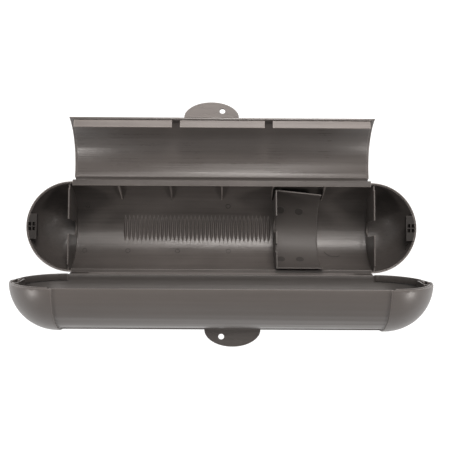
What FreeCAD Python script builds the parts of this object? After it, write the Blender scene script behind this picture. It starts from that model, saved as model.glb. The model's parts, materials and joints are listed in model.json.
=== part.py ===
import FreeCAD, Part
import os
import re

import Sketcher

# Tubular bait station, opened for servicing: a half-capsule base trough on three saddle feet, a
# half-capsule lid hinged along the front rim, a quarter-round cover flap hinged along the rear
# rim, and a loose bait tray. Millimetres. X runs along the tube, +Y to the rear, +Z up. The
# origin is on the floor below the middle of the trough. Every member is drawn in the closed
# station with its tube axis at z = 0, and its Placement then lifts or opens it.

Vec = FreeCAD.Vector

DIMENSIONS = {
    # tube and base trough
    "tube_radius": 48.0,
    "wall_thick": 2.0,
    "dome_centre": 158.6,
    "rim_height": 56.0,
    "rebate_depth": 1.2,
    "rebate_width": 1.0,
    # flat flanges that carry the two living hinges
    "rear_flange_inner": 43.5,
    "rear_flange_outer": 50.0,
    "rear_flange_thick": 2.0,
    "front_flange_inner": 44.5,
    "front_flange_outer": 48.6,
    "front_flange_thick": 1.6,
    "front_web_half": 140.0,
    "web_thick": 0.6,
    "web_tall": 1.0,
    "web_drop": 0.2,
    # webs under the rear flange
    "gusset_pitch": 55.1,
    "gusset_thick": 1.5,
    "gusset_foot": 31.5,
    # ribbed floor strip
    "rib_start": -110.0,
    "rib_pitch": 4.58,
    "rib_height": 1.8,
    "rib_crest": 1.3,
    "groove_root": 1.1,
    "strip_thick": 0.5,
    "strip_half_angle": 16.8,
    # end baffles
    "baffle_offset": 3.6,
    "baffle_thick": 1.6,
    "notch_radius": 8.0,
    "notch_depth": 40.0,
    "corner_cut_wide": 5.6,
    "corner_cut_deep": 3.8,
    # lock sockets at the tips of the trough, and the prongs that enter them
    "socket_inner": 195.7,
    "socket_half_wide": 13.4,
    "socket_depth": 6.0,
    "window_length": 3.2,
    "window_width": 4.0,
    "window_bar": 1.2,
    "window_row": 2.45,
    "prong_length": 1.8,
    "prong_width": 3.0,
    "prong_reach": 1.0,
    "prong_frame_gap": 0.5,
    "prong_frame_wall": 1.6,
    "prong_frame_tall": 6.0,
    # feet
    "foot_station": 100.0,
    "foot_half_wide": 38.0,
    "foot_web_thick": 4.0,
    "foot_web_top": -24.0,
    "sole_length": 18.0,
    "sole_thick": 3.0,
    # lid
    "lid_radius": 48.3,
    "seam_gap": 0.4,
    "recess_depth": 2.4,
    "recess_half": 156.4,
    "tongue_radius": 45.4,
    "tongue_thick": 1.1,
    "tongue_reach": 0.5,
    "tongue_tall": 6.2,
    "tongue_tip_gap": 15.0,
    "gutter_half": 153.0,
    "gutter_width": 11.6,
    "gutter_floor": 36.6,
    "gutter_wall": 1.8,
    "gutter_rib": 3.0,
    "lid_hinge_out": 49.6,
    "lid_hinge_rise": 0.2,
    "lid_open": 97.4,
    # cover flap
    "flap_inner": 46.3,
    "flap_thick": 2.0,
    "flap_half": 155.6,
    "flap_low_angle": 2.0,
    "flap_high_angle": 89.0,
    "flap_end_rebate": 1.0,
    "flap_end_width": 2.6,
    "lip_angle": 86.0,
    "lip_height": 8.5,
    "lip_thick": 1.6,
    "lip_half": 151.0,
    "lip_gap_left": -47.2,
    "lip_gap_right": 47.2,
    "lip_gap_half": 4.0,
    "flap_hinge_out": 50.3,
    "flap_hinge_rise": 0.5,
    "flap_open": 105.8,
    # locking tabs
    "tab_half_wide": 27.8,
    "tab_tall": 17.3,
    "tab_thick": 2.0,
    "tab_gap": 0.3,
    "tab_offset": 11.0,
    "tab_hole_radius": 2.9,
    "tab_hole_rise": 7.3,
    # bait tray
    "tray_wall": 1.6,
    "tray_left": 59.0,
    "tray_right": 106.6,
    "tray_front": 43.7,
    "tray_left_radius": 42.3,
    "tray_right_radius": 39.8,
    "tray_left_drop": 3.0,
    "tray_right_drop": 4.2,
    "tray_front_rise": 6.0,
    "tray_rear_rise": -5.5,
    "tray_notch_radius": 8.3,
    "tray_notch_centre": 4.3,
    "tray_notch_depth": 38.0,
    "tray_slot_centre": -21.6,
    "tray_slot_half": 4.2,
    "tray_slot_depth": 9.0,
}

GUSSETS = 5
RIBS = 36

doc = FreeCAD.newDocument("bait_station")
sheet = doc.addObject("Spreadsheet::Sheet", "Sizes")
for row, (alias, size) in enumerate(DIMENSIONS.items(), start=1):
    sheet.set(f"A{row}", alias)
    sheet.set(f"B{row}", str(size))
    sheet.setAlias(f"B{row}", alias)
doc.recompute()

subparts = []


def linked(text):
    """An expression over the sheet: every word with an underscore is one of its aliases."""
    return re.sub(r"\b[a-z]+(?:_[a-z]+)+\b", lambda word: "Sizes." + word.group(0), str(text))


def number(text):
    return float(sheet.evalExpression(linked(text)))


def bind(item, **properties):
    """Ties properties to the sheet; a double underscore in a name stands for a dot."""
    for name, text in properties.items():
        item.setExpression(name.replace("__", "."), linked(text))
    return item


# ---- primitives and booleans -------------------------------------------------------------


def box(name, x, y, z):
    """A block between two expressions on each axis."""
    solid = doc.addObject("Part::Box", name)
    bind(solid, Length=f"({x[1]}) - ({x[0]})", Width=f"({y[1]}) - ({y[0]})",
         Height=f"({z[1]}) - ({z[0]})")
    return bind(solid, Placement__Base__x=x[0], Placement__Base__y=y[0], Placement__Base__z=z[0])


def cylinder(name, axis, radius, length, start=("0", "0", "0")):
    """A round bar along X, Y or Z from its start point."""
    solid = doc.addObject("Part::Cylinder", name)
    turns = {"X": (Vec(0, 1, 0), 90), "Y": (Vec(1, 0, 0), -90), "Z": (Vec(0, 0, 1), 0)}
    solid.Placement = FreeCAD.Placement(Vec(), FreeCAD.Rotation(*turns[axis]))
    bind(solid, Radius=radius, Height=length)
    return bind(solid, Placement__Base__x=start[0], Placement__Base__y=start[1],
                Placement__Base__z=start[2])


def bar(name, radius, half="dome_centre"):
    """A round bar on the tube axis, centred."""
    return cylinder(name, "X", radius, f"2 * ({half})", (f"-({half})", "0", "0"))


def fuse(name, *solids):
    result = doc.addObject("Part::MultiFuse", name)
    result.Shapes = list(solids)
    return result


def cut(name, base, *tools):
    result = doc.addObject("Part::Cut", name)
    result.Base = base
    result.Tool = tools[0] if len(tools) == 1 else fuse(name + "_tools", *tools)
    return result


def common(name, first, second):
    result = doc.addObject("Part::Common", name)
    result.Base = first
    result.Tool = second
    return result


# ---- sketched bodies ----------------------------------------------------------------------


def origin_feature(body, role):
    return next(item for item in body.Origin.OriginFeatures if item.Role == role)


def sketch(body, name, plane, start, steps, offset="0"):
    """A closed outline on an origin plane of the body, every point tied to the sheet.

    A step is ("line", x, y) or ("arc", centre x, centre y, x, y, turn), turn being +1 for
    anticlockwise. The last step comes back to the start and is a line.
    """
    outline = body.newObject("Sketcher::SketchObject", name)
    outline.AttachmentSupport = (origin_feature(body, plane), [""])
    outline.MapMode = "FlatFace"
    bind(outline, AttachmentOffset__Base__z=offset)
    rules = []
    texts = []

    def rule(kind, *arguments, text=None):
        rules.append(Sketcher.Constraint(kind, *arguments))
        texts.append(text)

    def pin(kind, geometry, point, text):
        rule(kind, -1, 1, geometry, point, number(text), text=text)

    here = start
    first = last = None
    for index, step in enumerate(steps):
        there = step[-3:-1] if step[0] == "arc" else step[1:]
        a = Vec(number(here[0]), number(here[1]))
        b = Vec(number(there[0]), number(there[1]))
        begin, end = 1, 2
        if step[0] == "line":
            outline.addGeometry(Part.LineSegment(a, b), False)
        else:
            centre = Vec(number(step[1]), number(step[2]))
            low, high = (a, b) if step[-1] > 0 else (b, a)
            circle = Part.Circle(centre, Vec(0, 0, 1), (a - centre).Length)
            arc = Part.ArcOfCircle(circle, circle.parameter(low), circle.parameter(high))
            outline.addGeometry(arc, False)
            pin("DistanceX", index, 3, step[1])
            pin("DistanceY", index, 3, step[2])
            if step[-1] < 0:
                begin, end = 2, 1
        if last is None:
            first = (index, begin)
            pin("DistanceX", index, begin, here[0])
            pin("DistanceY", index, begin, here[1])
        else:
            rule("Coincident", last[0], last[1], index, begin)
        if index == len(steps) - 1:
            rule("Coincident", index, end, first[0], first[1])
        elif step[0] == "line":
            pin("DistanceX", index, end, there[0])
            pin("DistanceY", index, end, there[1])
        else:
            radial = b - centre
            flat = abs(radial.x) < abs(radial.y)
            pin("DistanceX" if flat else "DistanceY", index, end, there[0 if flat else 1])
        last = (index, end)
        here = there
    numbers = outline.addConstraint(rules)
    for index, text in zip(numbers, texts):
        if text is not None:
            outline.setExpression(f"Constraints[{index}]", linked(text))
    return outline


def feature(body, kind, name, profile, **properties):
    made = body.newObject("PartDesign::" + kind, name)
    made.Profile = profile
    for key, value in properties.items():
        setattr(made, key, value)
    return made


def half_capsule(name, radius, upper):
    """A solid half capsule on one side of the rim plane."""
    body = doc.addObject("PartDesign::Body", name)
    tip = f"dome_centre + ({radius})"
    outline = sketch(body, name + "_outline", "XY_Plane", (f"-({tip})", "0"), [
        ("arc", "-dome_centre", "0", "-dome_centre", radius, -1),
        ("line", "dome_centre", radius),
        ("arc", "dome_centre", "0", tip, "0", -1),
        ("line", f"-({tip})", "0"),
    ])
    feature(body, "Revolution", name + "_turned", outline, ReferenceAxis=(outline, ["H_Axis"]),
            Angle=180, Reversed=not upper)
    return body


def padded(name, plane, start, steps, length, offset="0", centred=False):
    """A prism of an outline, from its plane by a length, or centred on it."""
    body = doc.addObject("PartDesign::Body", name)
    outline = sketch(body, name + "_outline", plane, start, steps, offset)
    bind(feature(body, "Pad", name + "_pad", outline, Midplane=centred), Length=length)
    return body


# ---- places of the finished members ---------------------------------------------------------


def member(item, label, place):
    """Names a finished sub-part and puts it in its place."""
    item.Label = label
    place(item)
    subparts.append(item)


def on_base(item):
    bind(item, Placement__Base__z="rim_height")


def opened(item, side, out, rise, angle):
    """Swings a member out about its hinge line: side is -1 for the front rim, +1 the rear."""
    item.Placement = FreeCAD.Placement(Vec(), FreeCAD.Rotation(Vec(-side, 0, 0), 1))
    y = f"{side} * {out}"
    turn = f"{-side} * sin({angle})"
    bind(item, Placement__Rotation__Angle=angle,
         Placement__Base__y=f"{y} - ({y} * cos({angle}) - {rise} * {turn})",
         Placement__Base__z=f"rim_height + {rise} - ({y} * {turn} + {rise} * cos({angle}))")


def on_lid(item):
    opened(item, -1, "lid_hinge_out", "lid_hinge_rise", "lid_open")


def on_flap(item):
    opened(item, 1, "flap_hinge_out", "flap_hinge_rise", "flap_open")


def at_both_ends(build):
    """Builds a member at the left and right ends of the tube."""
    for side, sign in (("left", "-1"), ("right", "1")):
        build(side, sign)


def span(sign, near, far):
    """The two bounds on X, in order, of something between near and far from the middle."""
    low, high = f"{sign} * ({near})", f"{sign} * ({far})"
    return (low, high) if sign == "1" else (high, low)


# ---- base -----------------------------------------------------------------------------------

inner_radius = "tube_radius - wall_thick"
base_outer = half_capsule("base_outer", "tube_radius", upper=False)
base_inner = half_capsule("base_inner", inner_radius, upper=False)


def base_trough():
    """Half-capsule shell whose dome rims have a rebate inside, stopped at the lock sockets."""
    seats = [
        box("rear_flange_seat", ("-dome_centre", "dome_centre"),
            ("rear_flange_inner", "tube_radius + 1"), ("-rear_flange_thick", "1")),
        box("front_flange_seat", ("-dome_centre", "dome_centre"),
            ("-tube_radius - 1", "-front_flange_inner"), ("-front_flange_thick", "1")),
    ]
    rings = []
    for side, sign in (("left", "-1"), ("right", "1")):
        disc = cylinder(f"{side}_rim_disc", "Z", f"{inner_radius} + rebate_width",
                        "rebate_depth + 1", (f"{sign} * dome_centre", "0", "-rebate_depth"))
        near = box(f"{side}_rim_stop", span(sign, "0", "dome_centre"),
                   ("-tube_radius", "tube_radius"), ("-rebate_depth", "1"))
        tip = box(f"{side}_tip_stop", span(sign, "socket_inner", "dome_centre + tube_radius"),
                  ("-socket_half_wide", "socket_half_wide"), ("-rebate_depth", "1"))
        rings.append(cut(f"{side}_rim_rebate", disc, near, tip))
    shell = cut("base_shell", base_outer, base_inner)
    return cut("base_trough_cut", shell, *seats, *rings)


member(base_trough(), "base_trough", on_base)


def strip_along_rim(name, inner, outer, top, bottom, half):
    """A flat strip along the tube between two distances from its middle plane."""
    return padded(name, "YZ_Plane", (inner, bottom), [
        ("line", outer, bottom),
        ("line", outer, top),
        ("line", inner, top),
        ("line", inner, bottom),
    ], f"2 * {half}", centred=True)


member(strip_along_rim("rear_flange", "rear_flange_inner", "rear_flange_outer", "0",
                       "-rear_flange_thick", "dome_centre"), "rear_hinge_flange", on_base)
member(strip_along_rim("front_flange", "-front_flange_outer", "-front_flange_inner", "0",
                       "-front_flange_thick", "dome_centre"), "front_hinge_flange", on_base)
member(strip_along_rim("rear_web", "rear_flange_outer", "rear_flange_outer + web_thick",
                       "-web_drop", "-web_drop - web_tall", "flap_half"),
       "rear_hinge_web", on_base)
member(strip_along_rim("front_web", "-front_flange_outer - web_thick", "-front_flange_outer",
                       "-web_drop", "-web_drop - web_tall", "front_web_half"),
       "front_hinge_web", on_base)


def flange_gussets():
    """Thin webs between the rear flange and the trough wall."""
    foot = f"-sqrt(({inner_radius})^2 - gusset_foot^2)"
    head = f"sqrt(({inner_radius})^2 - rear_flange_thick^2)"
    body = padded("gusset_section", "YZ_Plane", ("gusset_foot", foot), [
        ("arc", "0", "0", head, "-rear_flange_thick", 1),
        ("line", "rear_flange_inner", "-rear_flange_thick"),
        ("line", "gusset_foot", foot),
    ], f"{GUSSETS} * gusset_pitch", centred=True)
    plates = []
    for index in range(GUSSETS):
        station = f"{index - GUSSETS // 2} * gusset_pitch"
        plates.append(box(f"gusset_plate_{index + 1}",
                          (f"{station} - gusset_thick / 2", f"{station} + gusset_thick / 2"),
                          ("0", "tube_radius"), ("-tube_radius", "0")))
    return common("gusset_webs", body, fuse("gusset_plates", *plates))


member(flange_gussets(), "flange_gussets", on_base)


def floor_ribs():
    """A ribbed strip on the trough floor: a turned slab with one V groove, patterned."""
    body = doc.addObject("PartDesign::Body", "rib_strip")
    end = f"rib_start + {RIBS} * rib_pitch"
    crest = f"{inner_radius} - strip_thick - rib_height"
    slab = sketch(body, "strip_section", "XZ_Plane", ("rib_start", f"-({crest})"), [
        ("line", "rib_start", f"-({inner_radius})"),
        ("line", end, f"-({inner_radius})"),
        ("line", end, f"-({crest})"),
        ("line", "rib_start", f"-({crest})"),
    ])
    turned = feature(body, "Revolution", "strip_turned", slab, ReferenceAxis=(slab, ["H_Axis"]),
                     Midplane=True)
    bind(turned, Angle="2 * strip_half_angle")
    root = f"{crest} + rib_height"
    notch = sketch(body, "groove_section", "XZ_Plane",
                   ("rib_start + rib_crest", f"-({crest}) + 1"), [
        ("line", "rib_start + rib_crest", f"-({crest})"),
        ("line", "rib_start + (rib_crest + rib_pitch - groove_root) / 2", f"-({root})"),
        ("line", "rib_start + (rib_crest + rib_pitch + groove_root) / 2", f"-({root})"),
        ("line", "rib_start + rib_pitch", f"-({crest})"),
        ("line", "rib_start + rib_pitch", f"-({crest}) + 1"),
        ("line", "rib_start + rib_crest", f"-({crest}) + 1"),
    ])
    groove = feature(body, "Groove", "first_groove", notch, ReferenceAxis=(notch, ["H_Axis"]),
                     Angle=60, Midplane=True)
    rows = body.newObject("PartDesign::LinearPattern", "groove_row")
    rows.Originals = [groove]
    rows.Direction = (notch, ["H_Axis"])
    rows.Occurrences = RIBS - 1
    bind(rows, Length=f"{RIBS - 2} * rib_pitch")
    body.Tip = rows
    return body


member(floor_ribs(), "floor_ribs", on_base)


def end_baffle(side, sign):
    """A plate across the mouth of the dome with a deep notch and two cut corners."""
    near = "dome_centre + baffle_offset - baffle_thick / 2"
    thick = span(sign, near, f"{near} + baffle_thick")
    wide = span(sign, "dome_centre", f"{near} + baffle_thick + 1")
    plate = box(f"{side}_baffle_plate", thick, ("-tube_radius", "tube_radius"),
                ("-tube_radius", "0"))
    disc = common(f"{side}_baffle_disc", plate, base_inner)
    deep = "notch_depth - notch_radius"
    tools = [
        box(f"{side}_notch_sides", wide, ("-notch_radius", "notch_radius"),
            (f"-({deep})", "1")),
        cylinder(f"{side}_notch_root", "X", "notch_radius", f"({wide[1]}) - ({wide[0]})",
                 (wide[0], "0", f"-({deep})")),
    ]
    corners = {
        "rear": (f"{inner_radius} - corner_cut_wide", "tube_radius"),
        "front": ("-tube_radius", f"corner_cut_wide - ({inner_radius})"),
    }
    for corner, edge in corners.items():
        tools.append(box(f"{side}_{corner}_corner", wide, edge, ("-corner_cut_deep", "1")))
    member(cut(f"{side}_baffle_cut", disc, *tools), f"{side}_baffle", on_base)


at_both_ends(end_baffle)


def lock_socket(side, sign):
    """A block inside the tip of the trough with a two by two grid of square windows."""
    block = box(f"{side}_socket_block", span(sign, "socket_inner", "dome_centre + tube_radius"),
                ("-socket_half_wide", "socket_half_wide"), ("-socket_depth", "0"))
    fitted = common(f"{side}_socket_fitted", block, base_inner)
    windows = []
    for column in range(2):
        near = f"socket_inner + window_bar + {column} * (window_length + window_bar)"
        for row, middle in (("rear", "window_row"), ("front", "-window_row")):
            windows.append(box(f"{side}_{row}_window_{column + 1}",
                               span(sign, near, f"{near} + window_length"),
                               (f"{middle} - window_width / 2", f"{middle} + window_width / 2"),
                               ("-socket_depth - 1", "1")))
    member(cut(f"{side}_socket_cut", fitted, *windows), f"{side}_lock_socket", on_base)


at_both_ends(lock_socket)


def saddle_foot(side, place):
    """An upright web shaped to the trough on a flat sole."""
    middle = f"{place} * foot_station"
    across = ("-foot_half_wide", "foot_half_wide")
    web = box(f"{side}_foot_web",
              (f"{middle} - foot_web_thick / 2", f"{middle} + foot_web_thick / 2"),
              across, ("-rim_height", "foot_web_top"))
    sole = box(f"{side}_foot_sole",
               (f"{middle} - sole_length / 2", f"{middle} + sole_length / 2"),
               across, ("-rim_height", "-rim_height + sole_thick"))
    foot = cut(f"{side}_foot_cut", fuse(f"{side}_foot_blank", web, sole),
               bar(f"{side}_foot_saddle", "tube_radius"))
    member(foot, f"{side}_foot", on_base)


saddle_foot("middle", "0")
at_both_ends(saddle_foot)

# ---- lid ------------------------------------------------------------------------------------

lid_inner_radius = "lid_radius - wall_thick"
recess_radius = "lid_radius - recess_depth"
lid_inner = half_capsule("lid_inner", lid_inner_radius, upper=True)


def lid_shell():
    """Half-capsule shell; its rear quarter is set in for the flap and has a gutter on top."""
    quarter = cut("recess_quarter",
                  box("recess_block", ("-recess_half", "recess_half"), ("0", "lid_radius + 1"),
                      ("0", "lid_radius + 1")),
                  bar("recess_bar", recess_radius, "recess_half"))
    outer = cut("lid_outer_recessed", half_capsule("lid_outer", "lid_radius", upper=True), quarter)
    step = "recess_half + wall_thick"
    wide_cavity = cut("lid_cavity_wide", lid_inner,
                      box("lid_cavity_stop", (f"-({step})", step),
                          ("-wall_thick", "lid_radius"), ("0", "lid_radius")))
    cavity = fuse("lid_cavity", wide_cavity,
                  bar("lid_cavity_bar", f"{recess_radius} - wall_thick", step))
    shell = cut("lid_hollowed", outer, cavity,
                box("lid_seam", ("-dome_centre - tube_radius", "dome_centre + tube_radius"),
                    ("-tube_radius - 1", "tube_radius + 1"), ("-1", "seam_gap")))
    end = "gutter_half + gutter_wall"
    trough = common("gutter_walls",
                    box("gutter_block", (f"-({end})", end),
                        ("-gutter_wall", "gutter_width + gutter_wall"),
                        ("gutter_floor - gutter_wall", "lid_radius")),
                    bar("gutter_bar", recess_radius))
    hollow = box("gutter_hollow", ("-gutter_half", "gutter_half"), ("0", "gutter_width"),
                 ("gutter_floor", "lid_radius + 1"))
    open_gutter = cut("lid_gutter_cut", fuse("lid_with_gutter", shell, trough), hollow)
    ribs = []
    for gap in ("lip_gap_left", "lip_gap_right"):
        ribs.append(box(f"gutter_rib_at_{gap}",
                        (f"{gap} - gutter_rib / 2", f"{gap} + gutter_rib / 2"),
                        ("-gutter_wall / 2", "gutter_width + gutter_wall / 2"),
                        ("gutter_floor - gutter_wall / 2", "lid_radius - 2 * recess_depth")))
    return fuse("lid_complete", open_gutter, *ribs)


member(lid_shell(), "lid_shell", on_lid)


def rim_tongues(side, sign):
    """Curved tongues inside the dome rim of the lid that drop inside the trough wall."""
    centre = (f"{sign} * dome_centre", "0")
    inside = "tongue_radius - tongue_thick"
    low = cut(f"{side}_tongue_low",
              cylinder(f"{side}_tongue_low_bar", "Z", "tongue_radius",
                       "tongue_reach + seam_gap", (*centre, "-tongue_reach")),
              cylinder(f"{side}_tongue_low_bore", "Z", inside,
                       "tongue_reach + seam_gap", (*centre, "-tongue_reach")))
    high = common(f"{side}_tongue_high",
                  cut(f"{side}_tongue_high_ring",
                      cylinder(f"{side}_tongue_high_bar", "Z", "tube_radius",
                               "tongue_tall - seam_gap", (*centre, "seam_gap")),
                      cylinder(f"{side}_tongue_high_bore", "Z", inside,
                               "tongue_tall - seam_gap", (*centre, "seam_gap"))),
                  lid_inner)
    height = ("-tongue_reach - 1", "tongue_tall + 1")
    keep_out = [
        box(f"{side}_tongue_stop", span(sign, "0", "dome_centre + wall_thick"),
            ("-tube_radius - 1", "tube_radius + 1"), height),
        box(f"{side}_tongue_tip", span(sign, "dome_centre", "dome_centre + tube_radius"),
            ("-tongue_tip_gap", "tongue_tip_gap"), height),
    ]
    member(cut(f"{side}_tongue_cut", fuse(f"{side}_tongue_ring", low, high), *keep_out),
           f"{side}_rim_tongues", on_lid)


at_both_ends(rim_tongues)


def lock_prongs(side, sign):
    """A hollow frame in the tip of the lid with two prongs that just enter the socket's windows."""
    wide = ("-socket_half_wide + 1", "socket_half_wide - 1")
    near = "socket_inner + prong_frame_gap"
    block = box(f"{side}_prong_block", span(sign, near, "dome_centre + tube_radius"),
                wide, ("seam_gap", "prong_frame_tall"))
    fitted = common(f"{side}_prong_fitted", block, lid_inner)
    hollow = box(f"{side}_prong_hollow",
                 span(sign, f"{near} + prong_frame_wall", "dome_centre + tube_radius"),
                 (f"{wide[0]} + prong_frame_wall", f"{wide[1]} - prong_frame_wall"),
                 ("0", "prong_frame_tall - prong_frame_wall"))
    prongs = []
    for column in range(2):
        middle = ("socket_inner + window_bar + window_length / 2"
                  f" + {column} * (window_length + window_bar)")
        prongs.append(box(f"{side}_prong_{column + 1}",
                          span(sign, f"{middle} - prong_length / 2",
                               f"{middle} + prong_length / 2"),
                          ("window_row - prong_width / 2", "window_row + prong_width / 2"),
                          ("-prong_reach", "prong_frame_tall - prong_frame_wall / 2")))
    member(fuse(f"{side}_prong_set", cut(f"{side}_prong_frame", fitted, hollow), *prongs),
           f"{side}_lock_prongs", on_lid)


at_both_ends(lock_prongs)

# ---- locking tabs and cover flap ---------------------------------------------------------------


def locking_tab(side, offset, near, far):
    """A half-ellipse fin on the crown of the closed tube, with the shared lock hole."""
    profile = doc.addObject("Part::Ellipse", f"{side}_tab_outline")
    profile.Placement = FreeCAD.Placement(Vec(), FreeCAD.Rotation(Vec(1, 0, 0), 90))
    bind(profile, MajorRadius="tab_half_wide", MinorRadius="tab_tall", Placement__Base__x=offset,
         Placement__Base__y=far, Placement__Base__z="lid_radius")
    plate = doc.addObject("Part::Extrusion", f"{side}_tab_plate")
    plate.Base = profile
    plate.DirMode = "Custom"
    plate.Dir = Vec(0, -1, 0)
    plate.Solid = True
    bind(plate, LengthFwd="tab_thick")
    hole = cylinder(f"{side}_tab_hole", "Y", "tab_hole_radius", "tab_thick + 2",
                    ("0", f"{near} - 1", "lid_radius + tab_hole_rise"))
    return cut(f"{side}_tab_cut", plate, bar(f"{side}_tab_seat", "lid_radius"), hole)


member(locking_tab("lid", "tab_offset", "-tab_gap - tab_thick", "-tab_gap"), "lid_lock_tab",
       on_lid)
member(locking_tab("flap", "-tab_offset", "tab_gap", "tab_gap + tab_thick"), "flap_lock_tab",
       on_flap)


def flap_panel():
    """A quarter-round panel whose two ends are rebated inside."""
    outer = "flap_inner + flap_thick"
    low, high = "flap_low_angle", "flap_high_angle"
    body = padded("flap_section", "YZ_Plane",
                  (f"({outer}) * cos({low})", f"({outer}) * sin({low})"), [
        ("arc", "0", "0", f"({outer}) * cos({high})", f"({outer}) * sin({high})", 1),
        ("line", f"flap_inner * cos({high})", f"flap_inner * sin({high})"),
        ("arc", "0", "0", f"flap_inner * cos({low})", f"flap_inner * sin({low})", -1),
        ("line", f"({outer}) * cos({low})", f"({outer}) * sin({low})"),
    ], "2 * flap_half", centred=True)
    sleeves = []
    for side, sign in (("left", "-1"), ("right", "1")):
        start = span(sign, "flap_half - flap_end_width", "flap_half + 1")[0]
        sleeves.append(cylinder(f"{side}_flap_rebate", "X", "flap_inner + flap_end_rebate",
                                "flap_end_width + 1", (start, "0", "0")))
    return cut("flap_panel_cut", body, *sleeves)


member(flap_panel(), "flap_panel", on_flap)


def flap_lips():
    """Three fins near the free edge that drop into the lid's gutter."""
    bounds = [("-lip_half", "lip_gap_left - lip_gap_half"),
              ("lip_gap_left + lip_gap_half", "lip_gap_right - lip_gap_half"),
              ("lip_gap_right + lip_gap_half", "lip_half")]
    fins = []
    for index, bound in enumerate(bounds, start=1):
        root, crest = "flap_inner + flap_thick / 2", "flap_inner - lip_height"
        body = padded(f"lip_{index}", "YZ_Plane", ("-lip_thick / 2", crest), [
            ("line", "lip_thick / 2", crest),
            ("line", "lip_thick / 2", root),
            ("line", "-lip_thick / 2", root),
            ("line", "-lip_thick / 2", crest),
        ], f"({bound[1]}) - ({bound[0]})", bound[0])
        body.Placement = FreeCAD.Placement(Vec(), FreeCAD.Rotation(Vec(-1, 0, 0), 1))
        fins.append(bind(body, Placement__Rotation__Angle="90 - lip_angle"))
    return common("flap_lips_fitted", fuse("flap_lip_blanks", *fins),
                  bar("flap_bore", "flap_inner"))


member(flap_lips(), "flap_lips", on_flap)

# ---- bait tray ----------------------------------------------------------------------------------


def tray_section(end, inset):
    """One wall line of the tray's U at one end: its middle, sunk centre, radius and rear edge."""
    middle = f"(tray_{end}_radius - tray_front)"
    sunk = f"-tray_{end}_drop"
    radius = f"(tray_{end}_radius - {inset})"
    rear = f"{middle} + sqrt({radius}^2 - (tray_rear_rise + tray_{end}_drop)^2)"
    return middle, sunk, radius, rear


def tray_sleeve():
    """A U-shaped sleeve, rocked to the front, lofted from its wider left to its right end."""
    body = doc.addObject("PartDesign::Body", "tray_sleeve")
    sections = []
    for end in ("left", "right"):
        middle, sunk, outer, outer_rear = tray_section(end, "0")
        inner, inner_rear = tray_section(end, "tray_wall")[2:]
        sections.append(sketch(body, f"tray_{end}_section", "YZ_Plane",
                               (f"{middle} - {outer}", "tray_front_rise"), [
            ("line", f"{middle} - {outer}", sunk),
            ("arc", middle, sunk, outer_rear, "tray_rear_rise", 1),
            ("line", inner_rear, "tray_rear_rise"),
            ("arc", middle, sunk, f"{middle} - {inner}", sunk, -1),
            ("line", f"{middle} - {inner}", "tray_front_rise"),
            ("line", f"{middle} - {outer}", "tray_front_rise"),
        ], f"tray_{end}"))
    feature(body, "AdditiveLoft", "tray_loft", sections[0], Sections=[sections[1]])
    return body


def tray_end_wall():
    """The closed left end of the tray, with a deep notch and a small slot in its top edge."""
    middle, sunk, outer, outer_rear = tray_section("left", "0")
    plate = padded("tray_wall_plate", "YZ_Plane", (f"{middle} - {outer}", "tray_front_rise"), [
        ("line", f"{middle} - {outer}", sunk),
        ("arc", middle, sunk, outer_rear, "tray_rear_rise", 1),
        ("line", f"{middle} - {outer}", "tray_front_rise"),
    ], "tray_wall", "tray_left - tray_wall")
    through = ("tray_left - tray_wall - 1", "tray_left + 1")
    top = "tray_front_rise + 1"
    deep = "tray_notch_depth - tray_notch_radius"
    return cut("tray_wall_cut", plate,
               box("tray_notch_sides", through,
                   ("tray_notch_centre - tray_notch_radius",
                    "tray_notch_centre + tray_notch_radius"), (f"-({deep})", top)),
               cylinder("tray_notch_root", "X", "tray_notch_radius", "tray_wall + 2",
                        (through[0], "tray_notch_centre", f"-({deep})")),
               box("tray_slot", through,
                   ("tray_slot_centre - tray_slot_half", "tray_slot_centre + tray_slot_half"),
                   ("-tray_slot_depth", top)))


member(tray_sleeve(), "bait_tray", on_base)
member(tray_end_wall(), "tray_end_wall", on_base)

# ---- check and write ------------------------------------------------------------------------------

doc.recompute()
for item in doc.Objects:
    if "Invalid" in item.State or "Error" in item.State:
        raise RuntimeError(f"{item.Name} failed: {item.State}")

os.makedirs("parts", exist_ok=True)
for item in subparts:
    if item.Shape.isNull() or not item.Shape.isValid() or not item.Shape.Solids:
        raise RuntimeError(f"{item.Label} has no valid solid")
    item.Shape.exportStep(f"parts/{item.Label}.step")
    print(item.Label, len(item.Shape.Solids), round(item.Shape.Volume, 1))
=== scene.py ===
import json
import math

import bpy
from mathutils import Matrix, Vector


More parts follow.
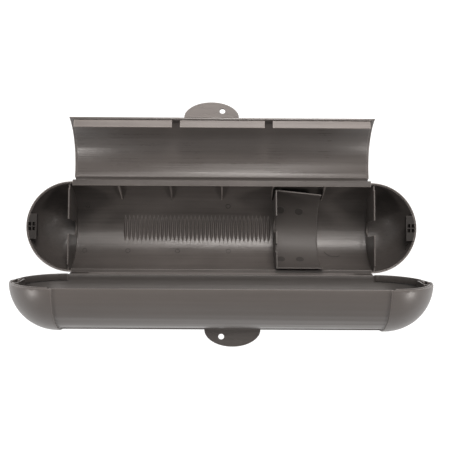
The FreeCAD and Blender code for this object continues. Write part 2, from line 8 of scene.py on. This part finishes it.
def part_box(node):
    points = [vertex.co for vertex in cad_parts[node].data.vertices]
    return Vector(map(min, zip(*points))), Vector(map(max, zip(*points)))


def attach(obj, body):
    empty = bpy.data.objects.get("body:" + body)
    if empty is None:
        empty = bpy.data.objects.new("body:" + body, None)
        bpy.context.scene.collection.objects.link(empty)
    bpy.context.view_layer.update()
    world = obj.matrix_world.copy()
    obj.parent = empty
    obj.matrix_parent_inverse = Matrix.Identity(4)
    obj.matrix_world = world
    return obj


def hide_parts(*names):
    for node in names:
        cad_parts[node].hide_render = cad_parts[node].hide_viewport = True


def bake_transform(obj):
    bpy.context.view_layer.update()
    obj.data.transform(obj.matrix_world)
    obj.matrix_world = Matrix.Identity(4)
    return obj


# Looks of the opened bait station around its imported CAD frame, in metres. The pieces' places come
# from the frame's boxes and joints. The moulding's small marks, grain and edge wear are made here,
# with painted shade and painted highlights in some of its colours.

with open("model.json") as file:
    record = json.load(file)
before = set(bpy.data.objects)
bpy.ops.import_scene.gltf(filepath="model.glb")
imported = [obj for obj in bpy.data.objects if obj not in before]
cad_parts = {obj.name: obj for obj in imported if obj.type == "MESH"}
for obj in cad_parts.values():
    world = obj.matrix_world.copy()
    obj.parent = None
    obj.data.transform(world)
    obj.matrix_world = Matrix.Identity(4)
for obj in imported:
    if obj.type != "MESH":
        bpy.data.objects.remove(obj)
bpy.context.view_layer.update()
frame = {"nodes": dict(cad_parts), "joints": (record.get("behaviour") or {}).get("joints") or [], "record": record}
nodes = frame["nodes"]
joints = {joint["name"]: joint for joint in frame["joints"]}

MM = 0.001
TUBE_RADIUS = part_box("base_trough")[1].y
WALL = 2.0 * MM
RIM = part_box("rear_hinge_flange")[1].z
DOME_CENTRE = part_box("base_trough")[1].x - TUBE_RADIUS
BORE = TUBE_RADIUS - WALL
LID_HINGE = Vector(joints["lid_hinge"]["pos_m"])
FLAP_HINGE = Vector(joints["flap_hinge"]["pos_m"])
LID_OPENING = -math.radians(joints["lid_hinge"]["range_deg"][0])
LID_RADIUS = 48.3 * MM
LID_AXIS = (LID_HINGE + Matrix.Rotation(LID_OPENING, 3, "X")
            @ (Vector((0, 0, RIM)) - LID_HINGE))

STREAK_SCALE = (6, 420, 420)
CLOUD_SCALE = 26.0
GRAIN_SCALE = 2400.0
GRAIN_HEIGHT = 0.06 * MM
STREAK_HEIGHT = 0.2 * MM
SINK_HEIGHT = 0.9 * MM
PALE_EDGE_WIDTH = 1.1 * MM


# ---- materials --------------------------------------------------------------------------------


def chain(tree, kind, inputs=None, **settings):
    """A shader node with its settings and its inputs, each a value or another node's socket."""
    node = tree.nodes.new(kind)
    for key, value in settings.items():
        setattr(node, key, value)
    for key, value in (inputs or {}).items():
        if isinstance(value, bpy.types.NodeSocket):
            tree.links.new(value, node.inputs[key])
        else:
            node.inputs[key].default_value = value
    return node


def ramp(tree, source, stops):
    """A colour ramp on a socket. A stop is (place, colour)."""
    node = chain(tree, "ShaderNodeValToRGB", {"Fac": source})
    elements = node.color_ramp.elements
    while len(elements) < len(stops):
        elements.new(0.5)
    for element, (place, colour) in zip(elements, stops):
        element.position = place
        element.color = (*colour, 1)
    return node


def grey(level, warm=0.12):
    """A warm grey."""
    return (level * (1 + warm), level, level * (1 - 0.55 * warm))


def wear_and_highlight_edges(tree):
    """How near a point is to an outer edge, made pale partly by wear from handling and partly as
    a painted highlight where edges catch the light.
    """
    inside = chain(tree, "ShaderNodeAmbientOcclusion", {"Distance": PALE_EDGE_WIDTH}, inside=True,
                   only_local=True, samples=6)
    return chain(tree, "ShaderNodeMapRange", {"Value": inside.outputs["AO"], "From Min": 0.45,
                 "From Max": 0.9, "To Min": 1.0, "To Max": 0.0}).outputs["Result"]


def math_node(tree, operation, first, second=0.0):
    """The result of one operation on two values or sockets."""
    node = chain(tree, "ShaderNodeMath", {0: first, 1: second}, operation=operation)
    return node.outputs["Value"]


def painted_tip_shade(tree, place, tips=0.66):
    """Painted shade that darkens the plastic towards the two tips of the tube."""
    full_tone_until, darkest_from = 70 * MM, 170 * MM
    along = chain(tree, "ShaderNodeSeparateXYZ", {"Vector": place}).outputs["X"]
    shade = chain(tree, "ShaderNodeMapRange", {"Value": math_node(tree, "ABSOLUTE", along),
                  "From Min": full_tone_until, "From Max": darkest_from, "To Min": 1.0, "To Max": tips})
    return shade.outputs["Result"]


def painted_lid_bore_shade(tree, place, inside=0.6):
    """Painted shade that darkens the inside of the lid. Its wall is set in by the recess above the
    tube's axis, so the distance from the axis that parts inside from outside falls there."""
    half_wall, set_in, blend = WALL / 2, 2.4 * MM, 4 * MM
    spot = chain(tree, "ShaderNodeSeparateXYZ", {"Vector": place}).outputs
    past_dome_centre = math_node(tree, "SUBTRACT", math_node(tree, "ABSOLUTE", spot["X"]),
                                 DOME_CENTRE)
    offset = chain(tree, "ShaderNodeCombineXYZ", {
        "X": math_node(tree, "MAXIMUM", past_dome_centre),
        "Y": math_node(tree, "SUBTRACT", spot["Y"], LID_AXIS.y),
        "Z": math_node(tree, "SUBTRACT", spot["Z"], LID_AXIS.z)})
    reach = chain(tree, "ShaderNodeVectorMath", {0: offset.outputs["Vector"]}, operation="LENGTH")
    parting = chain(tree, "ShaderNodeMapRange", {"Value": spot["Z"],
                    "From Min": LID_AXIS.z - blend, "From Max": LID_AXIS.z,
                    "To Min": LID_RADIUS - half_wall,
                    "To Max": LID_RADIUS - half_wall - set_in})
    outside = math_node(tree, "GREATER_THAN", reach.outputs["Value"], parting.outputs["Result"])
    return chain(tree, "ShaderNodeMapRange", {"Value": outside, "To Min": inside,
                 "To Max": 1.0}).outputs["Result"]


def moulded_plastic(name, level, rough, streak=0.12, grain=0.35, gloss=0.5, drag=0.3,
                    shade=None, wear_and_highlight_level=1.9, sink=0.25):
    """Dark recycled polypropylene: flow streaks along the tube, clouding, fine grain, shallow
    sink marks, optional painted shade, and pale edges, partly wear and partly painted highlight."""
    material = bpy.data.materials.new(name)
    material.use_nodes = True
    tree = material.node_tree
    tree.nodes.clear()
    place = chain(tree, "ShaderNodeTexCoord").outputs["Object"]
    stretched = chain(tree, "ShaderNodeMapping", {"Vector": place, "Scale": STREAK_SCALE})
    flow = chain(tree, "ShaderNodeTexNoise", {"Vector": stretched.outputs["Vector"], "Scale": 1.0,
                 "Detail": 5.0, "Roughness": 0.62})
    cloud = chain(tree, "ShaderNodeTexNoise", {"Vector": place, "Scale": CLOUD_SCALE, "Detail": 4.0,
                  "Roughness": 0.55})
    fine = chain(tree, "ShaderNodeTexNoise", {"Vector": place, "Scale": GRAIN_SCALE,
                 "Detail": 2.0})
    mixed = chain(tree, "ShaderNodeMix", {"Factor": 0.55, "A": cloud.outputs["Fac"],
                  "B": flow.outputs["Fac"]})
    colour = ramp(tree, mixed.outputs["Result"], [
        (0.30, grey(level * (1 - streak))),
        (0.50, grey(level)),
        (0.72, grey(level * (1 + streak))),
    ])
    # Painted shade, where a shade is given: it darkens the colour.
    if shade:
        colour = chain(tree, "ShaderNodeHueSaturation", {"Color": colour.outputs["Color"],
                       "Value": shade(tree, place)})
    # Pale edges: partly wear, partly a painted highlight.
    worn_and_highlit_colour = chain(tree, "ShaderNodeMix", {"Factor": wear_and_highlight_edges(tree),
                   "A": colour.outputs["Color"], "B": (*grey(level * wear_and_highlight_level), 1)}, data_type="RGBA")
    shine = chain(tree, "ShaderNodeMapRange", {"Value": mixed.outputs["Result"],
                  "From Min": 0.3, "From Max": 0.7, "To Min": rough - 0.05,
                  "To Max": rough + 0.07})
    skin = chain(tree, "ShaderNodeBump", {"Height": fine.outputs["Fac"], "Strength": grain,
                 "Distance": GRAIN_HEIGHT})
    drawn = chain(tree, "ShaderNodeBump", {"Height": flow.outputs["Fac"], "Strength": drag,
                  "Distance": STREAK_HEIGHT, "Normal": skin.outputs["Normal"]})
    sunk = chain(tree, "ShaderNodeBump", {"Height": cloud.outputs["Fac"], "Strength": sink,
                 "Distance": SINK_HEIGHT, "Normal": drawn.outputs["Normal"]})
    shader = chain(tree, "ShaderNodeBsdfPrincipled", {
        "Base Color": worn_and_highlit_colour.outputs[2], "Roughness": shine.outputs["Result"],
        "Normal": sunk.outputs["Normal"], "IOR": 1.49, "Specular IOR Level": gloss})
    surface = chain(tree, "ShaderNodeOutputMaterial").inputs["Surface"]
    tree.links.new(shader.outputs["BSDF"], surface)
    return material


PLASTIC = {
    # base: painted shade darkens its two tips
    "base_plastic": moulded_plastic("base_moulding", 0.086, 0.31, streak=0.22, drag=0.55,
                                    shade=painted_tip_shade, wear_and_highlight_level=2.6, sink=0.45),
    # lid: painted shade darkens its inside
    "lid_plastic": moulded_plastic("lid_moulding", 0.088, 0.36, streak=0.05, shade=painted_lid_bore_shade),
    "flap_plastic": moulded_plastic("flap_moulding", 0.084, 0.29, drag=1.0),
    "tray_plastic": moulded_plastic("tray_moulding", 0.068, 0.5, streak=0.08),
    "web_plastic": moulded_plastic("hinge_web", 0.1, 0.5, wear_and_highlight_level=1.0),
    # gussets: paler than the base, a painted highlight on their lit edges
    "gusset_painted_highlight": moulded_plastic("gusset_moulding_painted_highlight", 0.17, 0.4),
    # floor ribs: darker than the base as painted shade between the ribs
    "rib_painted_shade": moulded_plastic("floor_rib_painted_shade", 0.068, 0.33),
    # flap lips: paler than the flap, a painted highlight
    "lip_painted_highlight": moulded_plastic("flap_lip", 0.16, 0.4, streak=0.2, drag=1.0),
    # tabs: one fine texture; the flap's copy is paler as painted light, the lid's darker as painted shade
    "tab_painted_light": moulded_plastic("flap_tab_texture_painted_light", 0.125, 0.55, streak=0.2, grain=1.0),
    "tab_painted_shade": moulded_plastic("lid_tab_texture_painted_shade", 0.075, 0.55, streak=0.2, grain=1.0),
    # lock sockets: grained, and painted dark as painted shade
    "socket_painted_shade": moulded_plastic("socket_texture_painted_shade", 0.024, 0.6, gloss=0.25, grain=1.0),
    # tray pads: painted dark as painted shade
    "pad_painted_shade": moulded_plastic("tray_pad", 0.04, 0.55, wear_and_highlight_level=1.0),
    # ejector rings and scar: painted dark as painted shade
    "mark_painted_shade": moulded_plastic("mould_mark_painted_shade", 0.035, 0.45, wear_and_highlight_level=1.0),
}


def paint(piece, material):
    """Gives a piece one material."""
    piece.data.materials.clear()
    piece.data.materials.append(material)


# A node takes its slot's plastic, unless its name ends with one of these. Their looks are painted highlights and
# painted shade.
OWN_LOOK = {"flap_lock_tab": "tab_painted_light", "lid_lock_tab": "tab_painted_shade",
            "lock_socket": "socket_painted_shade", "flap_lips": "lip_painted_highlight",
            "flange_gussets": "gusset_painted_highlight"}
slot_of = {row["node"]: row["material_slot"] for row in frame["record"]["subparts"]}
for node_name, cad in nodes.items():
    look = [name for ending, name in OWN_LOOK.items() if node_name.endswith(ending)]
    paint(cad, PLASTIC[look[0] if look else slot_of[node_name]])


# ---- the moulding's own edges -----------------------------------------------------------------


def rounded(cad, width):
    """Softens the sharp arrises of a moulded part and shades it evenly."""
    weld = cad.modifiers.new("weld", "WELD")
    weld.merge_threshold = 0.001 * MM
    bevel = cad.modifiers.new("mould_radius", "BEVEL")
    bevel.width = width
    bevel.segments = 2
    bevel.limit_method = "ANGLE"
    bevel.angle_limit = math.radians(40)
    bevel.use_clamp_overlap = False
    bevel.harden_normals = True


# Millimetres, for nodes whose names hold the word; the rest are sharper.
EDGE_RADIUS = {"baffle": 0.6, "gussets": 0.75, "tray": 0.6, "end_wall": 0.6, "flap_panel": 0.4,
               "lid_shell": 0.35, "base_trough": 0.35, "flange": 0.5, "lips": 0.5, "tab": 0.4}
OTHER_EDGE_RADIUS = 0.25
for node_name, cad in nodes.items():
    fitting = [size for word, size in EDGE_RADIUS.items() if word in node_name]
    rounded(cad, (fitting[0] if fitting else OTHER_EDGE_RADIUS) * MM)


# ---- pieces made here -------------------------------------------------------------------------


def piece_from(name, vertices, faces, material, body=None):
    """A mesh object with its material, attached to its body if it has one."""
    mesh = bpy.data.meshes.new(name)
    mesh.from_pydata(vertices, [], faces)
    mesh.validate()
    piece = bpy.data.objects.new(name, mesh)
    bpy.context.scene.collection.objects.link(piece)
    paint(piece, material)
    if body:
        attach(piece, body)
    return piece


def solid_grid(name, across, along, top, bottom, material, body):
    """A closed slab over a grid: top and bottom give a point for each pair of parameters."""
    vertices = [point(u, v) for point in (top, bottom) for u in across for v in along]
    wide, long = len(across), len(along)
    layer = wide * long

    def at(i, j, side):
        """The index of a grid point on the top, side 0, or on the bottom, side 1."""
        return side * layer + i * long + j

    faces = []
    for i in range(wide - 1):
        for j in range(long - 1):
            for side in (0, 1):
                quad = (at(i, j, side), at(i + 1, j, side), at(i + 1, j + 1, side),
                        at(i, j + 1, side))
                faces.append(quad if side == 0 else quad[::-1])
    for i in range(wide - 1):
        faces.append((at(i, 0, 1), at(i + 1, 0, 1), at(i + 1, 0, 0), at(i, 0, 0)))
        faces.append((at(i, long - 1, 0), at(i + 1, long - 1, 0), at(i + 1, long - 1, 1),
                      at(i, long - 1, 1)))
    for j in range(long - 1):
        faces.append((at(0, j, 0), at(0, j + 1, 0), at(0, j + 1, 1), at(0, j, 1)))
        faces.append((at(wide - 1, j, 1), at(wide - 1, j + 1, 1), at(wide - 1, j + 1, 0),
                      at(wide - 1, j, 0)))
    piece = piece_from(name, vertices, faces, material, body)
    for polygon in piece.data.polygons:
        polygon.use_smooth = True
    return piece


def spread(low, high, count):
    """Evenly spaced values, both ends included."""
    return [low + (high - low) * index / (count - 1) for index in range(count)]


def on_bore(x, angle, height):
    """A point on the trough's bore, angle from straight down towards the rear, height inwards."""
    radius = BORE - height
    return (x, radius * math.sin(angle), RIM - radius * math.cos(angle))


def ribs():
    """Roof-shaped ribs across the floor that run out to a point at both ends, a little past the
    ends of the solid ribs that they stand for."""
    low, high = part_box("floor_ribs")
    count = 36
    pitch = (high.x - low.x) / count
    tall = 2.5 * MM
    sunk = 0.06 * MM
    root = 0.4 * MM
    solid_tall, run_out = 2.3 * MM, 1.12
    half_angle = math.asin(high.y / (BORE - solid_tall)) * run_out

    def top(x, angle):
        """The ribbed face: highest along each crest, and a hair under the bore between ribs."""
        share = (x - low.x) / pitch
        from_crest = abs(share - math.floor(share) - 0.5) * 2
        fall = 1 - (angle / half_angle) ** 2
        return on_bore(x, angle, max(tall * (fall - from_crest), -sunk))

    def bottom(x, angle):
        """The hidden face, inside the trough's wall."""
        return on_bore(x, angle, -root)

    steps_per_rib, steps_round = 8, 41
    piece = solid_grid("floor_rib_row", spread(low.x, high.x, count * steps_per_rib + 1),
                       spread(-half_angle, half_angle, steps_round), top, bottom,
                       PLASTIC["rib_painted_shade"], "base")
    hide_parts("floor_ribs")


ribs()


def hinge_web(name, node, flange_edge, elbow, shell_edge, half, slit_from):
    """A living hinge: a thin strip that curves from a flange up to a shell. Past slit_from from
    the middle it hangs below the flange and leaves a dark slit."""
    thick, slit_drop, slit_end, steps = 0.5 * MM, 1.5 * MM, 0.2 * MM, 9
    start, bend, finish = Vector(flange_edge), Vector(elbow), Vector(shell_edge)
    path = []
    for share in spread(0, 1, steps):
        rest = 1 - share
        path.append(rest ** 2 * start + 2 * share * rest * bend + share ** 2 * finish)
    normals = []
    for index in range(steps):
        ahead = path[min(index + 1, steps - 1)] - path[max(index - 1, 0)]
        normals.append(Vector((-ahead.y, ahead.x)).normalized())

    def side(sign):
        """One face of the strip, as a point for each station across and step along the curve."""
        def point(x, index):
            hang = slit_drop * (1 - index / (steps - 1)) if abs(x) > slit_from else 0
            y, z = path[index] + sign * normals[index] * thick / 2
            return (x, y, z - hang)
        return point

    stations = [-half, -slit_from - slit_end] + spread(-slit_from, slit_from, 25)
    stations += [slit_from + slit_end, half]
    piece = solid_grid(name, stations, list(range(steps)), side(1), side(-1),
                       PLASTIC["web_plastic"], None)
    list(path[1])
    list(path[-2])
    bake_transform(piece)
    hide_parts(node)


def hinge_webs():
    """The strips that join the two flanges to the flap and to the lid."""
    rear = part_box("rear_hinge_flange")[1].y
    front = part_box("front_hinge_flange")[0].y
    rear_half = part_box("rear_hinge_web")[1].x - 0.4 * MM
    hinge_web("rear_living_hinge", "rear_hinge_web",
              flange_edge=(rear - 0.3 * MM, RIM - 0.3 * MM),
              elbow=(rear + 1.5 * MM, RIM - 0.1 * MM),
              shell_edge=(FLAP_HINGE.y + 1.95 * MM, FLAP_HINGE.z + 2.6 * MM),
              half=rear_half, slit_from=rear_half - 1 * MM)
    hinge_web("front_living_hinge", "front_hinge_web",
              flange_edge=(front + 0.3 * MM, RIM - 0.3 * MM),
              elbow=(front - 1.1 * MM, RIM - 0.1 * MM),
              shell_edge=(LID_HINGE.y - 0.55 * MM, LID_HINGE.z + 1.9 * MM),
              half=DOME_CENTRE + 1 * MM, slit_from=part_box("front_hinge_web")[1].x)


hinge_webs()


def ridge_line(name, path, surface, wide, tall, material, body, closed=False):
    """A fine raised line that follows a path of two parameters on a surface."""
    section = [(-0.5, -0.5), (-0.3, 1), (0.3, 1), (0.5, -0.5)]
    vertices, faces = [], []
    last = len(path) - 1
    for index, (u, v) in enumerate(path):
        before = path[index - 1] if index or closed else path[index]
        after = path[(index + 1) % len(path)] if index < last or closed else path[index]
        along = Vector((after[0] - before[0], after[1] - before[1])).normalized()
        for offset, height in section:
            vertices.append(surface(u - along.y * wide * offset, v + along.x * wide * offset,
                                    tall * height))
    steps = len(path) if closed else last
    ring = len(section)
    for index in range(steps):
        here, there = index * ring, (index + 1) % len(path) * ring
        for corner in range(ring):
            following = (corner + 1) % ring
            faces.append((here + corner, there + corner, there + following, here + following))
    if not closed:
        faces.append(tuple(range(ring)))
        faces.append(tuple(last * ring + corner for corner in reversed(range(ring))))
    return piece_from(name, vertices, faces, material, body)


def arc_path(x, along, radius, start, end, count):
    """Points of an arc between two angles in degrees, both ends included."""
    angles = [math.radians(degrees) for degrees in spread(start, end, count)]
    return [(x + radius * math.cos(angle), along + radius * math.sin(angle)) for angle in angles]


def bore_surface(x, arc, height):
    """The trough's bore unrolled: arc is the length round it from straight down."""
    return on_bore(x, arc / BORE, height)


def floor_marks():
    """Rings left by the ejector pins, and a short crescent scar beside the tray, all painted dark
    as painted shade.
    """
    pin_radius, ring_wide, ring_tall = 2.5 * MM, 0.8 * MM, 0.3 * MM
    front, rear = -26 * MM, 27 * MM
    places = [(x * MM, front) for x in (-152, -104, -49, 7.5)]
    places += [(x * MM, rear) for x in (-149, 7)]
    for index, (x, arc) in enumerate(places, start=1):
        ring = arc_path(x, arc, pin_radius, 0, 360, 33)[:-1]
        ridge_line(f"ejector_ring_{index}", ring, bore_surface, ring_wide, ring_tall,
                   PLASTIC["mark_painted_shade"], "base", closed=True)
    scar_radius, scar_wide, scar_tall = 12 * MM, 1.1 * MM, 0.4 * MM
    scar = arc_path(125 * MM, -21 * MM, scar_radius, 205, 300, 25)
    ridge_line("crescent_scar", scar, bore_surface, scar_wide, scar_tall,
               PLASTIC["mark_painted_shade"], "base")


floor_marks()


def tray_pads():
    """Four shallow round pads on the tray's bore, two to the rear and two to the front, painted
    dark as painted shade.
    """
    low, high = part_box("bait_tray")
    wall = 1.6 * MM
    # At each end: the bore's radius, and how far its centre lies below the trough's rim.
    radius = {"left": 42.3 * MM - wall, "right": 39.8 * MM - wall}
    drop = {"left": 3.0 * MM, "right": 4.2 * MM}

    def surface(x, angle, height):
        """A point on the tray's bore, angle from straight down towards the rear."""
        share = (x - low.x) / (high.x - low.x)
        bore = radius["left"] + (radius["right"] - radius["left"]) * share
        sunk = drop["left"] + (drop["right"] - drop["left"]) * share
        middle = low.y + wall + bore
        return (x, middle + (bore - height) * math.sin(angle),
                RIM - sunk - (bore - height) * math.cos(angle))

    def pad(name, x, angle, size):
        """A shallow pad, as rings of a share of its size and a height off the bore."""
        rings = [(size, -0.1 * MM), (size * 0.98, 0.12 * MM), (size * 0.86, 0.16 * MM),
                 (size * 0.5, 0.1 * MM)]
        count = 32
        vertices, faces = [], []
        for reach, height in rings:
            for step in range(count):
                turn = 2 * math.pi * step / count
                vertices.append(surface(x + reach * math.cos(turn),
                                        angle + reach * math.sin(turn) / radius["left"], height))
        for level in range(len(rings) - 1):
            for step in range(count):
                ahead = (step + 1) % count
                outer, inner = level * count, (level + 1) * count
                faces.append((outer + step, outer + ahead, inner + ahead, inner + step))
        faces.append(tuple((len(rings) - 1) * count + step for step in range(count)))
        faces.append(tuple(reversed(range(count))))
        piece = piece_from(name, vertices, faces, PLASTIC["pad_painted_shade"], "tray")
        for polygon in piece.data.polygons:
            polygon.use_smooth = len(polygon.vertices) == 4

    pad_radius = 4.4 * MM
    for row, angle in (("rear", 35), ("front", -51)):
        for column, x in (("left", 6.5 * MM), ("right", 27 * MM)):
            pad(f"tray_pad_{row}_{column}", low.x + x, math.radians(angle), pad_radius)


tray_pads()


# ---- camera, lights and floor -----------------------------------------------------------------


def camera():
    """The view from almost straight above, a little to the front."""
    sensor, lens = 36, 56.298
    lean, sway, roll = 0.05525022, 0.00648609, 0.00581637
    place = (-1.373 * MM, -38.777 * MM, RIM + 743.851 * MM)
    eye = bpy.data.cameras.new("camera")
    eye.sensor_width = sensor
    eye.lens = lens
    holder = bpy.data.objects.new("camera", eye)
    bpy.context.scene.collection.objects.link(holder)
    turn = (Matrix.Rotation(lean, 4, "X") @ Matrix.Rotation(-sway, 4, "Y")
            @ Matrix.Rotation(roll, 4, "Z"))
    holder.matrix_world = Matrix.Translation(place) @ turn
    eye.clip_start, eye.clip_end = 0.01, 20
    bpy.context.scene.camera = holder


def softbox(name, place, wide, deep, power):
    """A slightly warm rectangular light that faces the middle of the open trough."""
    lamp = bpy.data.lights.new(name, "AREA")
    lamp.shape = "RECTANGLE"
    lamp.size = wide
    lamp.size_y = deep
    lamp.energy = power
    lamp.color = (1.0, 0.95, 0.915)
    holder = bpy.data.objects.new(name, lamp)
    bpy.context.scene.collection.objects.link(holder)
    aim = Vector((0, 0, RIM)) - Vector(place)
    holder.location = place
    holder.rotation_euler = aim.to_track_quat("-Z", "Y").to_euler()


def studio():
    """Seamless white paper, a pale surround that darkens overhead, and soft lights to the rear
    and at both ends."""
    half = 12.0
    floor = piece_from("floor", [(-half, -half, 0), (half, -half, 0), (half, half, 0),
                                 (-half, half, 0)], [(0, 1, 2, 3)], paper())
    softbox("key_rear", (0.15, 1.0, 1.25), wide=0.52, deep=0.36, power=14.5)
    softbox("top_rear", (0.1, 0.55, 1.6), wide=1.7, deep=0.42, power=9)
    for side, sign in (("left", -1), ("right", 1)):
        softbox(f"side_{side}", (sign * 1.17, -0.52, 0.82), wide=0.24, deep=0.24, power=6.2)
    world = bpy.data.worlds.new("room")
    world.use_nodes = True
    tree = world.node_tree
    direction = chain(tree, "ShaderNodeTexCoord").outputs["Generated"]
    height = chain(tree, "ShaderNodeSeparateXYZ", {"Vector": direction}).outputs["Z"]
    shade = ramp(tree, height, [(0.0, (0.72,) * 3), (0.3, (0.66,) * 3), (0.6, (0.4,) * 3),
                                (1.0, (0.1,) * 3)])
    tree.links.new(shade.outputs["Color"], tree.nodes["Background"].inputs["Color"])
    bpy.context.scene.world = world


def paper():
    """Pale seamless paper that glows evenly, as on a light table."""
    material = bpy.data.materials.new("studio_paper")
    material.use_nodes = True
    tree = material.node_tree
    shader = tree.nodes["Principled BSDF"]
    place = chain(tree, "ShaderNodeTexCoord").outputs["Object"]
    fibre = chain(tree, "ShaderNodeTexNoise", {"Vector": place, "Scale": 300.0, "Detail": 3.0})
    pale = ramp(tree, fibre.outputs["Fac"], [(0.3, (0.97,) * 3), (0.7, (1.0,) * 3)])
    tree.links.new(pale.outputs["Color"], shader.inputs["Emission Color"])
    shader.inputs["Emission Strength"].default_value = 1.0
    shader.inputs["Base Color"].default_value = (0.2, 0.2, 0.2, 1)
    shader.inputs["Roughness"].default_value = 0.9
    return material


camera()
studio()
bpy.context.scene.view_settings.view_transform = "Standard"
